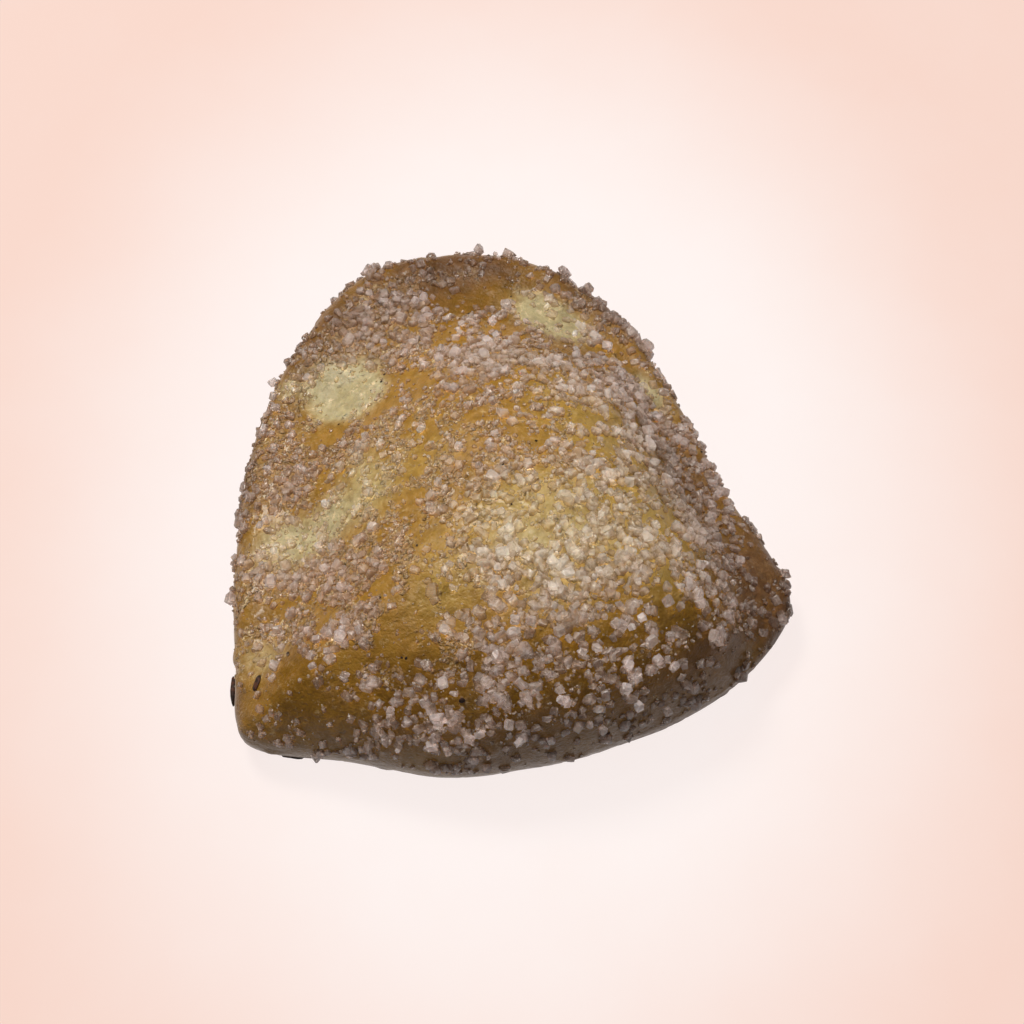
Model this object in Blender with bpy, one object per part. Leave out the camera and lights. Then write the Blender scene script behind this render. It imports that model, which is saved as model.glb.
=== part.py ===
"""Sugared turnover pastry: one solid piece of baked dough.

A round of dough is folded over its filling along the front (-Y) and pressed shut along the
curved edge behind it. The fold stays thick and round. The pressed edge is a low lip with
finger marks on top and a seam between its two layers. Metres, +Z up, the flat base at z = 0,
and the origin at the middle of the base's bounding box.
"""

import bpy
import bmesh
import numpy as np

MM = 0.001

# Driving dimensions, in millimetres.
HEIGHT = 29.0  # the filled belly above the base
APEX = (7.0, -12.0)  # the belly's highest point in plan
OUTLINE = (  # the dough's widest line in plan, counter-clockwise
    (-37.4, -36.2),  # left corner, where the fold starts
    (-24.1, -38.4),
    (-9.5, -41.1),
    (4.0, -39.7),  # middle of the fold
    (18.0, -35.6),
    (30.8, -28.9),
    (39.1, -20.2),
    (42.2, -13.0),  # right tip, where the fold ends
    (39.0, -4.2),
    (32.7, 6.4),  # right flank
    (26.8, 20.6),
    (18.0, 36.0),
    (5.9, 46.3),
    (-8.0, 49.0),  # crown of the pressed edge
    (-22.8, 45.3),
    (-33.2, 32.0),
    (-40.2, 13.0),  # left flank
    (-41.8, -8.0),
    (-41.0, -23.0),
    (-40.5, -32.4),
)
# Sections round the outline. Each key is a share of its length, from the left corner along
# the fold. Values: lip width (0 at the plain round fold), lip height, radius of the lip's
# upper edge, waist height, and how far the lower wall runs in to the base.
SECTIONS = {
    0.00: (3.0, 10.0, 4.6, 5.4, 3.4),  # left corner
    0.05: (0.0, 9.5, 4.6, 6.4, 4.2),
    0.18: (0.0, 9.5, 4.6, 7.0, 5.0),  # middle of the fold
    0.26: (0.5, 9.2, 4.6, 6.4, 4.6),
    0.33: (7.0, 9.0, 4.4, 5.2, 3.2),  # right tip
    0.42: (7.5, 9.0, 4.2, 4.8, 2.8),  # right flank
    0.60: (9.5, 9.0, 4.2, 4.8, 2.8),  # crown
    0.76: (11.5, 9.5, 3.8, 5.0, 2.8),
    0.90: (9.0, 10.0, 3.6, 5.0, 3.0),  # left flank
}
BELLY_ROUNDNESS = 2.1
BELLY_POWERS = (0.5, 1.25)  # towards the fold, where it is full, and towards the lip
FOLD_FACES = 283.0  # degrees from +X that the middle of the fold faces

# Share along the outline, distance in from it, radius and depth of each finger mark.
FINGER_MARKS = (
    (0.463, 4.5, 4.6, 1.1),
    (0.558, 6.5, 5.2, 1.5),
    (0.640, 6.0, 4.8, 0.7),
    (0.764, 10.5, 5.4, 1.6),
    (0.874, 10.5, 5.6, 1.4),
    (0.949, 6.0, 5.0, 1.2),
)
# Plan position, radius and rise of the soft lumps and hollows over the filling.
LUMPS = (
    (16.0, -3.0, 9.0, 0.8),
    (-6.0, 7.0, 11.0, 1.0),
    (-15.0, -17.0, 10.0, 0.9),
    (1.0, 24.0, 9.0, 0.8),
    (-13.0, 22.0, 7.0, -0.7),
    (1.0, -2.0, 6.0, -0.6),
    (24.0, -19.0, 8.0, 0.6),
)
SEAM_SPAN = (0.36, 0.95)  # shares of the outline between which the two layers show
SEAM_HEIGHT = 4.2
SEAM_DEPTH = 0.7
SEAM_HALF_WIDTH = 0.9

# How finely the surface is divided.
AROUND = 120
ROWS_LIP = 8
ROWS_BELLY = 13
ROWS_WALL = 6
ROWS_BASE = 2

CRUST_COLOUR = (0.46, 0.25, 0.07, 1.0)


def smooth_step(low, high, value):
    """0 below low, 1 above high, with an even slope at both ends."""
    t = np.clip((value - low) / (high - low), 0.0, 1.0)
    return t * t * (3.0 - 2.0 * t)


def soft_minimum(value, width):
    """The smaller of value and 1, rounded over within width of where they meet."""
    near = np.maximum(width - np.abs(value - 1), 0.0)
    return np.minimum(value, 1.0) - near**2 / (4 * width)


def outline_points():
    """Points evenly spaced by length on the closed Catmull-Rom curve through OUTLINE."""
    knots = np.array(OUTLINE)
    fine = np.linspace(0, len(knots), 60 * len(knots), endpoint=False)
    first = fine.astype(int)
    t = (fine - first)[:, None]
    a, b, c, d = (knots[(first + k) % len(knots)] for k in (-1, 0, 1, 2))
    curve = b + 0.5 * t * (c - a + t * (2 * a - 5 * b + 4 * c - d + t * (3 * b - a - 3 * c + d)))
    loop = np.vstack([curve, curve[:1]])
    along = np.concatenate([[0.0], np.cumsum(np.linalg.norm(np.diff(loop, axis=0), axis=1))])
    wanted = np.arange(AROUND) / AROUND * along[-1]
    return np.stack([np.interp(wanted, along, loop[:, k]) for k in (0, 1)], axis=-1)


def round_copy(edge):
    """The ellipse nearest to the outline: its mean and its first turn round."""
    turn = 2 * np.pi * np.arange(AROUND)[:, None] / AROUND
    across = 2 * (edge * np.cos(turn)).mean(axis=0)
    along = 2 * (edge * np.sin(turn)).mean(axis=0)
    return edge.mean(axis=0) + np.cos(turn) * across + np.sin(turn) * along


def section_values():
    """The values of SECTIONS at every point of the outline, eased between its keys."""
    share = np.arange(AROUND) / AROUND
    keys = np.array(sorted(SECTIONS))
    values = np.array([SECTIONS[key] for key in keys])
    k = np.searchsorted(keys, share, side="right") - 1
    after = (k + 1) % len(keys)
    ease = smooth_step(0.0, 1.0, (share - keys[k]) / ((keys[after] - keys[k]) % 1.0))[:, None]
    return (values[k] * (1 - ease) + values[after] * ease).T


def hill(x, y, spot, radius):
    """A smooth hill of height 1 over a spot in plan, almost nothing at twice its radius."""
    return np.exp(-1.4 * ((x - spot[0]) ** 2 + (y - spot[1]) ** 2) / radius**2)


def upper_rows(reach, facing, lip_width, lip_height, lip_radius, waist):
    """Share of the spoke and height of each row, from the waist up and in to the apex.

    A quarter ellipse goes over the lip's edge. Inside the lip the belly rises to its full
    height as a power curve, which is an ellipse at the fold and hollower away from it.
    """
    turn = np.linspace(0, np.pi / 2, ROWS_LIP + 1)[:, None]
    across = np.linspace(0, 1, ROWS_BELLY + 1)[1:, None] ** 1.3
    inset = np.vstack([lip_radius * (1 - np.cos(turn)),
                       lip_radius + (reach - lip_radius) * across])
    share = np.maximum(1 - inset / reach, 0.0)
    full, hollow = BELLY_POWERS
    power = (full + hollow) / 2 - (hollow - full) / 2 * np.cos(facing - np.radians(FOLD_FACES))
    fillet = np.maximum(0.6 * lip_width / (reach - lip_width), 1e-6)
    inside = soft_minimum(share / (1 - lip_width / reach), fillet)
    belly = (1 - inside**BELLY_ROUNDNESS) ** power
    edge = np.vstack([np.sin(turn), np.ones_like(across)])
    return share, waist + (lip_height - waist) * edge + (HEIGHT - lip_height) * belly


def lower_rows(reach, waist, undercut):
    """Share of the spoke and height of each row, down the wall and in over the flat base."""
    drop = np.linspace(0, np.pi / 2, ROWS_WALL + 1)[1:, None]
    inward = np.linspace(0, 1, ROWS_BASE + 1)[1:, None]
    inset = np.vstack([undercut * (1 - np.cos(drop)), undercut + (reach - undercut) * inward])
    height = np.vstack([waist * (1 - np.sin(drop)), 0 * inward * reach])
    return 1 - inset / reach, height


def dough_surface():
    """Rows of points from the apex, over the top, down the wall and in under the base."""
    edge = outline_points()
    centre = np.array(APEX)
    reach = np.linalg.norm(edge - centre, axis=1)
    facing = np.arctan2(*(edge - centre).T[::-1])
    lip_width, lip_height, lip_radius, waist, undercut = section_values()
    top_share, top_height = upper_rows(reach, facing, lip_width, lip_height, lip_radius, waist)
    low_share, low_height = lower_rows(reach, waist, undercut)

    # Rows nearer the apex follow a rounder copy of the outline, so no crease runs up to it.
    share = np.vstack([top_share[::-1], low_share])[..., None]
    keep = smooth_step(0.0, 1.0, share)
    spoke = (round_copy(edge) - centre) * (1 - keep) + (edge - centre) * keep
    plan = centre + spoke * share
    height = np.vstack([top_height[::-1], low_height])
    tops = len(top_height)

    x, y = plan[:tops, :, 0], plan[:tops, :, 1]
    relief = np.zeros_like(x)
    for spot_x, spot_y, radius, rise in LUMPS:
        relief += rise * hill(x, y, (spot_x, spot_y), radius)
    for mark_share, distance, radius, depth in FINGER_MARKS:
        rim = edge[round(mark_share * AROUND)]
        inward = (centre - rim) / np.linalg.norm(centre - rim)
        relief -= depth * hill(x, y, rim + inward * distance, radius)
    height[:tops] += relief * smooth_step(0.0, 3.0, height[:tops] - waist)

    around = np.arange(AROUND) / AROUND
    shows = smooth_step(SEAM_SPAN[0], SEAM_SPAN[0] + 0.04, around)
    shows *= 1 - smooth_step(SEAM_SPAN[1] - 0.04, SEAM_SPAN[1], around)
    outer = smooth_step(0.80, 0.90, share[..., 0])
    groove = shows * outer * np.exp(-(((height - SEAM_HEIGHT) / SEAM_HALF_WIDTH) ** 2))
    plan -= spoke * (SEAM_DEPTH * groove / reach)[..., None]
    return np.concatenate([plan, height[..., None]], axis=-1)


def crust_material():
    """Golden egg-washed crust."""
    material = bpy.data.materials.new("baked_crust")
    material.use_nodes = True
    shader = material.node_tree.nodes["Principled BSDF"]
    shader.inputs["Base Color"].default_value = CRUST_COLOUR
    shader.inputs["Roughness"].default_value = 0.42
    shader.inputs["Metallic"].default_value = 0.0
    return material


def make_turnover(collection):
    """Moulds a ball of dough, a UV sphere, row by row into the pastry."""
    surface = dough_surface()
    low, high = surface.min(axis=(0, 1)), surface.max(axis=(0, 1))
    surface[..., :2] -= (low[:2] + high[:2]) / 2
    rows = len(surface) - 1

    bm = bmesh.new()
    bmesh.ops.create_uvsphere(bm, u_segments=AROUND, v_segments=rows, radius=1.0)
    for vert in bm.verts:
        row = round(np.arccos(np.clip(vert.co.z, -1, 1)) / np.pi * rows)
        spoke = round(np.arctan2(vert.co.y, vert.co.x) / (2 * np.pi) * AROUND) % AROUND
        vert.co = surface[row, spoke] * MM
    mesh = bpy.data.meshes.new("turnover")
    bm.to_mesh(mesh)
    bm.free()
    mesh.shade_smooth()
    mesh.materials.append(crust_material())
    collection.objects.link(bpy.data.objects.new("turnover", mesh))


def main():
    for old in list(bpy.data.objects):
        bpy.data.objects.remove(old, do_unlink=True)
    collection = bpy.data.collections.new("turnover_pastry")
    bpy.context.scene.collection.children.link(collection)
    make_turnover(collection)


main()
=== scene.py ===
"""Looks of the sugared turnover pastry: crust, sugar, burnt flecks, stage, light and
camera.

Shapes are worked out in millimetres in the dough's own plan, with the fold along the front (-Y)
and the pressed lip behind it, and are moved into the part's frame when a mesh is made.
"""

import logging
import math
from dataclasses import dataclass, field
from enum import Enum
from typing import Any

import bpy
import numpy as np
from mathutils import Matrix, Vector


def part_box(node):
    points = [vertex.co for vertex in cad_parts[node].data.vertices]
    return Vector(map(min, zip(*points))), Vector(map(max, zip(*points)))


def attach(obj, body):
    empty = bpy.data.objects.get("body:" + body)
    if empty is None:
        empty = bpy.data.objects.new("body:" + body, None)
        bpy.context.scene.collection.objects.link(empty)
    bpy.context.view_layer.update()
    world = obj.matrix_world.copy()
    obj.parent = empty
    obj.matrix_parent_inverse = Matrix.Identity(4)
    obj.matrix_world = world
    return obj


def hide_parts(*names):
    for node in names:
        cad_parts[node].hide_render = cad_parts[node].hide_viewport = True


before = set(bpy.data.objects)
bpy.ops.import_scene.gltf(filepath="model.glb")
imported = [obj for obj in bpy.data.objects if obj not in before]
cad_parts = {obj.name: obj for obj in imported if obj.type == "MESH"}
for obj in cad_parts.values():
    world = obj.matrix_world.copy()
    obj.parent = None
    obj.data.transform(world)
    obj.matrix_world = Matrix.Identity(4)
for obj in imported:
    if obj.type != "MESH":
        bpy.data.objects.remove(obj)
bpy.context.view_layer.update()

Array = np.ndarray
Colour = tuple[float, float, float, float]

MM = 0.001
BODY = "root"
NODE = "turnover"
SUGAR_OVER_FLOOR = 0.05  # millimetres
CRUMB_OVER_FLOOR = 0.02  # millimetres
CRUMB_MISSES = 1.0  # millimetres in plan from the crust, past which a crumb is left out
log = logging.getLogger("turnover")


class Zone(str, Enum):
    """Names of the per-vertex values that the finishes read."""

    PALE = "pale"  # undercoloured dough where a finger pressed, and painted light on the top of the belly
    YELLOW = "yellow"  # thin glaze over pale dough
    BROWN_AND_SHADE = "brown"  # darker, drier bake, also painted shade at the rims and down the right flank
    DEEP = "deep"  # thick, dark egg glaze
    BARE = "bare"  # dough that the glaze missed, low on the fold
    CRUSTED = "crusted"  # fine sugar melted into the glaze
    TINT = "tint"  # each crystal's own shade
    SHADED_FOOT = "foot"  # painted shade on the lower part of each crystal, where it meets the crust
    SOAK = "soak"  # how much glaze a crystal has drunk


class Grain(Enum):
    """The three sizes of sugar on the crust."""

    COARSE = "sugar_coarse"
    MEDIUM = "sugar_medium"
    FINE = "sugar_fine"


# ---------------------------------------------------------------------------------------------
# Numbers and meshes


def smooth_step(low: float, high: float, value: Array) -> Array:
    """Eases from 0 at low to 1 at high.

    Args:
        low: Where the step starts.
        high: Where it ends.
        value: The values to read it at.

    Returns:
        3t^2 - 2t^3, with t the value's clipped share of the way from low to high.
    """
    t = np.clip((value - low) / (high - low), 0.0, 1.0)
    return t * t * (3.0 - 2.0 * t)


class LatticeNoise:
    """Smooth random values in space, from one seeded lattice that repeats far away."""

    SIZE = 32

    def __init__(self, seed: int) -> None:
        """Fills the lattice.

        Args:
            seed: The seed of its values.
        """
        self.table = np.random.default_rng(seed).uniform(-1, 1, (self.SIZE,) * 3)

    def at(self, points: Array, scale: float) -> Array:
        """Reads the noise: lattice values eased along each axis between whole steps.

        Args:
            points: Places in millimetres, last axis x, y, z.
            scale: The lattice step in millimetres.

        Returns:
            Values between -1 and 1, one for each place.
        """
        p = points / scale
        low = np.floor(p).astype(int)
        t = p - low
        t = t * t * (3.0 - 2.0 * t)
        total = np.zeros(points.shape[:-1])
        for corner in np.ndindex(2, 2, 2):
            index = (low + corner) % self.SIZE
            weight = np.prod(np.where(corner, t, 1.0 - t), axis=-1)
            total += weight * self.table[index[..., 0], index[..., 1], index[..., 2]]
        return total

    def layered(self, points: Array, scale: float, layers: int = 3, gain: float = 0.5) -> Array:
        """Adds finer and weaker copies of the noise.

        Args:
            points: Places in millimetres.
            scale: The coarsest step in millimetres.
            layers: How many copies.
            gain: Each copy's strength against the one before.

        Returns:
            The weighted mean of the copies, each at 0.48 of the step before.
        """
        total, weight, norm = np.zeros(points.shape[:-1]), 1.0, 0.0
        for layer in range(layers):
            total += weight * self.at(points + 7.7 * layer, scale * 0.48**layer)
            norm += weight
            weight *= gain
        return total / norm


@dataclass(frozen=True)
class Blot:
    """A soft oval patch in plan: exp of minus the squared distance in half-widths."""

    x: float
    y: float
    half_length: float
    half_width: float
    turn: float = 0.0
    amount: float = 1.0
    sharpness: float = 1.0

    def at(self, points: Array) -> Array:
        """Reads the patch.

        Args:
            points: Places in millimetres.

        Returns:
            amount times exp(-((a/half_length)^2 + (b/half_width)^2)^sharpness), a and b being
            the distances along its axes.
        """
        c, s = math.cos(math.radians(self.turn)), math.sin(math.radians(self.turn))
        dx, dy = points[..., 0] - self.x, points[..., 1] - self.y
        along, across = dx * c + dy * s, dy * c - dx * s
        share = (along / self.half_length) ** 2 + (across / self.half_width) ** 2
        return self.amount * np.exp(-(share**self.sharpness))


def blots(*rows: tuple[float, ...]) -> tuple[Blot, ...]:
    """Blots from rows of their values, in the order of Blot's fields."""
    return tuple(Blot(*row) for row in rows)


def blots_at(patches: tuple[Blot, ...], points: Array) -> Array:
    """The sum of several blots at each place."""
    return sum((patch.at(points) for patch in patches), np.zeros(points.shape[:-1]))


def closed_grid(rows: int, columns: int) -> list[Array]:
    """Faces of rings of places that close at one place above and one below.

    Args:
        rows: How many rings there are.
        columns: How many places each ring has.

    Returns:
        The quads between the rings, and the triangles of both caps. Place 0 is the upper one,
        the rings follow row by row, and the lower one is last.
    """
    ids = 1 + np.arange(rows * columns).reshape(rows, columns)
    after = np.roll(ids, -1, axis=1)
    quads = np.stack([ids[:-1], ids[1:], after[1:], after[:-1]], axis=-1).reshape(-1, 4)
    upper = np.stack([np.zeros(columns, int), ids[0], after[0]], axis=-1)
    lower = np.stack([ids[-1], np.full(columns, rows * columns + 1), after[-1]], axis=-1)
    return [quads, np.vstack([upper, lower])]


def make_piece(name: str, vertices: Array, faces: list[Array], smooth: bool,
               values: dict[Zone, Array], material: bpy.types.Material) -> bpy.types.Object:
    """Makes a mesh piece of the part and has it ride on the part's body.

    Args:
        name: The piece's name.
        vertices: Places in the frame, in metres.
        faces: Arrays of vertex numbers, each with one number of corners.
        smooth: Whether its faces are shaded smooth.
        values: Per-vertex values for its finish.
        material: Its finish.

    Returns:
        The piece's object.
    """
    mesh = bpy.data.meshes.new(name)
    corners = np.concatenate([f.ravel() for f in faces])
    sizes = np.concatenate([np.full(len(f), f.shape[1]) for f in faces])
    mesh.vertices.add(len(vertices))
    mesh.vertices.foreach_set("co", np.ascontiguousarray(vertices, np.float32).ravel())
    mesh.loops.add(len(corners))
    mesh.loops.foreach_set("vertex_index", corners.astype(np.int32))
    mesh.polygons.add(len(sizes))
    mesh.polygons.foreach_set("loop_start", (np.cumsum(sizes) - sizes).astype(np.int32))
    mesh.update(calc_edges=True)
    mesh.polygons.foreach_set("use_smooth", np.full(len(sizes), smooth))
    for zone, value in values.items():
        layer = mesh.attributes.new(zone.value, "FLOAT", "POINT")
        layer.data.foreach_set("value", np.ascontiguousarray(value, np.float32).ravel())
    mesh.materials.append(material)
    piece = bpy.data.objects.new(name, mesh)
    bpy.context.scene.collection.objects.link(piece)
    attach(piece, BODY)
    triangles = int((sizes - 2).sum())
    log.info("%s: %d triangles", name, triangles)
    return piece


# ---------------------------------------------------------------------------------------------
# Shader graphs


class Value:
    """A shader socket that adds Math nodes when it is used in a sum."""

    def __init__(self, graph: "Graph", socket: bpy.types.NodeSocket) -> None:
        """Wraps a socket.

        Args:
            graph: The graph that the socket is in.
            socket: An output socket that holds a number.
        """
        self.graph = graph
        self.socket = socket

    def _math(self, operation: str, first: Any, second: Any = 0.0) -> "Value":
        """Adds one Math node.

        Args:
            operation: Its operation.
            first: Its first value or number.
            second: Its second value or number.

        Returns:
            The node's result.
        """
        node = self.graph.node("ShaderNodeMath", {"operation": operation}, {0: first, 1: second})
        return Value(self.graph, node.outputs[0])

    def __add__(self, other: Any) -> "Value":
        """This plus other."""
        return self._math("ADD", self, other)

    def __sub__(self, other: Any) -> "Value":
        """This minus other."""
        return self._math("SUBTRACT", self, other)

    def __rsub__(self, other: Any) -> "Value":
        """Other minus this."""
        return self._math("SUBTRACT", other, self)

    def __mul__(self, other: Any) -> "Value":
        """This times other."""
        return self._math("MULTIPLY", self, other)

    def __abs__(self) -> "Value":
        """This without its sign."""
        return self._math("ABSOLUTE", self)

    __radd__ = __add__
    __rmul__ = __mul__

    def clamped(self) -> "Value":
        """This held between 0 and 1."""
        return self._math("MINIMUM", self._math("MAXIMUM", self, 0.0), 1.0)

    def eased(self, low: float, high: float) -> "Value":
        """Eases from 0 at low to 1 at high.

        Args:
            low: Where the step starts.
            high: Where it ends.

        Returns:
            The eased value.
        """
        node = self.graph.node("ShaderNodeMapRange", {"interpolation_type": "SMOOTHSTEP"},
                               {"Value": self, "From Min": low, "From Max": high})
        return Value(self.graph, node.outputs["Result"])


class Graph:
    """One material's nodes."""

    def __init__(self, name: str) -> None:
        """Makes the material with a Principled shader and its output.

        Args:
            name: The material's name.
        """
        self.material = bpy.data.materials.new(name)
        self.material.use_nodes = True
        self.tree = self.material.node_tree
        self.shader = self.tree.nodes["Principled BSDF"]

    def node(self, kind: str, settings: dict[str, Any],
             inputs: dict[str | int, Any]) -> bpy.types.Node:
        """Adds a node.

        Args:
            kind: The node's type.
            settings: Its settings, which are set first.
            inputs: Values or links for its sockets.

        Returns:
            The node.
        """
        made = self.tree.nodes.new(kind)
        for key, setting in settings.items():
            setattr(made, key, setting)
        self.feed(made, inputs)
        return made

    def feed(self, node: bpy.types.Node, inputs: dict[str | int, Any]) -> None:
        """Sets or links a node's sockets.

        Args:
            node: The node.
            inputs: Values, wrapped values or sockets, by socket name or number.
        """
        for key, given in inputs.items():
            if isinstance(given, Value):
                given = given.socket
            if isinstance(given, bpy.types.NodeSocket):
                self.tree.links.new(given, node.inputs[key])
            else:
                node.inputs[key].default_value = given

    def place(self) -> bpy.types.NodeSocket:
        """Object coordinates, in metres."""
        return self.node("ShaderNodeTexCoord", {}, {}).outputs["Object"]

    def zone(self, zone: Zone) -> Value:
        """A per-vertex value of the piece."""
        made = self.node("ShaderNodeAttribute", {"attribute_name": zone.value}, {})
        return Value(self, made.outputs["Fac"])

    def noise(self, place: bpy.types.NodeSocket, step: float, detail: float = 3.0,
              roughness: float = 0.55, distortion: float = 0.0) -> Value:
        """Smooth noise.

        Args:
            place: The coordinates it reads.
            step: The size of its features in metres.
            detail: How many finer layers it has.
            roughness: How strong those are.
            distortion: How far it is warped.

        Returns:
            Values from 0 to 1, about 0.5 on average.
        """
        made = self.node("ShaderNodeTexNoise", {}, {
            "Vector": place, "Scale": 1.0 / step, "Detail": detail, "Roughness": roughness,
            "Distortion": distortion})
        return Value(self, made.outputs["Fac"])

    def cells(self, place: bpy.types.NodeSocket, step: float) -> tuple[Value, Value]:
        """A cell pattern.

        Args:
            place: The coordinates it reads.
            step: The size of a cell in metres.

        Returns:
            The distance to the cell's middle, in cells, and the cell's own random value.
        """
        made = self.node("ShaderNodeTexVoronoi", {}, {"Vector": place, "Scale": 1.0 / step})
        split = self.node("ShaderNodeSeparateColor", {}, {"Color": made.outputs["Color"]})
        return Value(self, made.outputs["Distance"]), Value(self, split.outputs["Red"])

    def warped(self, place: bpy.types.NodeSocket, step: float,
               amount: float) -> bpy.types.NodeSocket:
        """Coordinates moved about by noise.

        Args:
            place: The coordinates to move.
            step: The size of the noise in metres.
            amount: How far they move, in metres.

        Returns:
            The moved coordinates.
        """
        made = self.node("ShaderNodeTexNoise", {}, {
            "Vector": place, "Scale": 1.0 / step, "Detail": 2.0, "Roughness": 0.5})
        moved = self.node("ShaderNodeVectorMath", {"operation": "MULTIPLY_ADD"}, {
            0: made.outputs["Color"], 1: (amount, amount, amount), 2: place})
        return moved.outputs["Vector"]

    def mix(self, factor: Any, first: Any, second: Any,
            blend: str = "MIX") -> bpy.types.NodeSocket:
        """Mixes two colours.

        Args:
            factor: How much of the second.
            first: A colour or a colour socket.
            second: A colour or a colour socket.
            blend: How the second goes on the first.

        Returns:
            The mixed colour.
        """
        made = self.tree.nodes.new("ShaderNodeMix")
        made.data_type, made.blend_type, made.clamp_factor = "RGBA", blend, True
        sockets = {s.identifier: s for s in made.inputs}
        for key, given in (("Factor_Float", factor), ("A_Color", first), ("B_Color", second)):
            if isinstance(given, Value):
                given = given.socket
            if isinstance(given, bpy.types.NodeSocket):
                self.tree.links.new(given, sockets[key])
            else:
                sockets[key].default_value = given
        return next(s for s in made.outputs if s.identifier == "Result_Color")

    def bump(self, height: Value, distance: float, strength: float = 1.0,
             under: bpy.types.NodeSocket | None = None) -> bpy.types.NodeSocket:
        """A bumped normal.

        Args:
            height: The relief, from 0 to 1.
            distance: How high 1 stands, in metres.
            strength: How much of it shows.
            under: A normal that it goes on top of.

        Returns:
            The normal.
        """
        inputs: dict[str | int, Any] = {"Height": height, "Distance": distance,
                                        "Strength": strength}
        if under is not None:
            inputs["Normal"] = under
        return self.node("ShaderNodeBump", {}, inputs).outputs["Normal"]

    def finish(self, inputs: dict[str | int, Any]) -> bpy.types.Material:
        """Feeds the Principled shader and gives the material.

        Args:
            inputs: Values or links for the shader's sockets.

        Returns:
            The material.
        """
        self.feed(self.shader, inputs)
        return self.material


# ---------------------------------------------------------------------------------------------
# Finishes


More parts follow.
